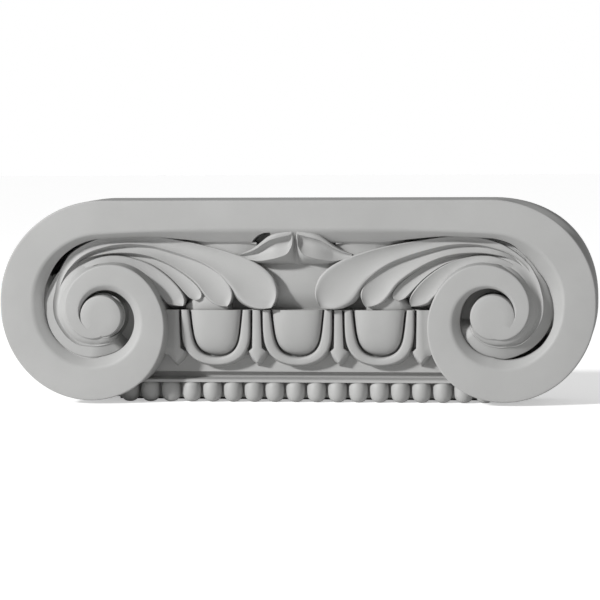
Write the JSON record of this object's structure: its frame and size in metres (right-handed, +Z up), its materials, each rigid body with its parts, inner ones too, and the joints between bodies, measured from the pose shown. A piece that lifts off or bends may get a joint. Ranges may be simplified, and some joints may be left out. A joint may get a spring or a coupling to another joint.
{
  "type": "ionic pilaster capital",
  "caption": "Flat-backed moulded Ionic capital with scrolled volutes, half acanthus leaves, egg-and-dart and a bead row, to crown a pilaster.",
  "frame": {"origin": "middle of the underside's bounding rectangle", "axes": "+X to the right along the front, +Y from the carved front to the flat back, +Z up"},
  "size_m": [0.33, 0.05, 0.113],
  "materials": {
    "primed_moulding": "smooth factory primer, matt, on rigid polyurethane foam"
  },
  "bodies": {
    "root": {"ionic_capital": "primed_moulding"}
  },
  "joints": []
}
